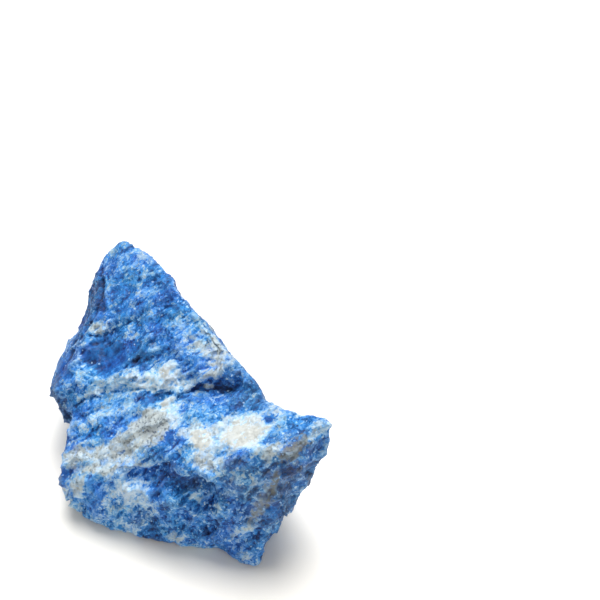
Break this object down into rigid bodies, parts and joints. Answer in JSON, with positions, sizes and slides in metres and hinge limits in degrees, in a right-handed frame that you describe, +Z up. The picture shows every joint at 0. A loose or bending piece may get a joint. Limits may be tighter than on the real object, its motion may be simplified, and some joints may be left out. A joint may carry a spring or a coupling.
{
  "type": "raw sodalite",
  "caption": "Rough broken lump of blue and white sodalite with a high back, a sloping front shelf and a pointed overhang, resting on its worn underside.",
  "frame": {"origin": "middle of the bounding box's underside, on the surface that the lump rests on", "axes": "+Z up, +Y towards the high pointed back of the lump, +X towards its overhanging tip"},
  "size_m": [0.0496, 0.0526, 0.0291],
  "materials": {
    "sodalite": "rough broken rock, royal blue mottled with pale blue, grey and cream grains"
  },
  "bodies": {
    "root": {"stone": "sodalite"}
  },
  "joints": []
}
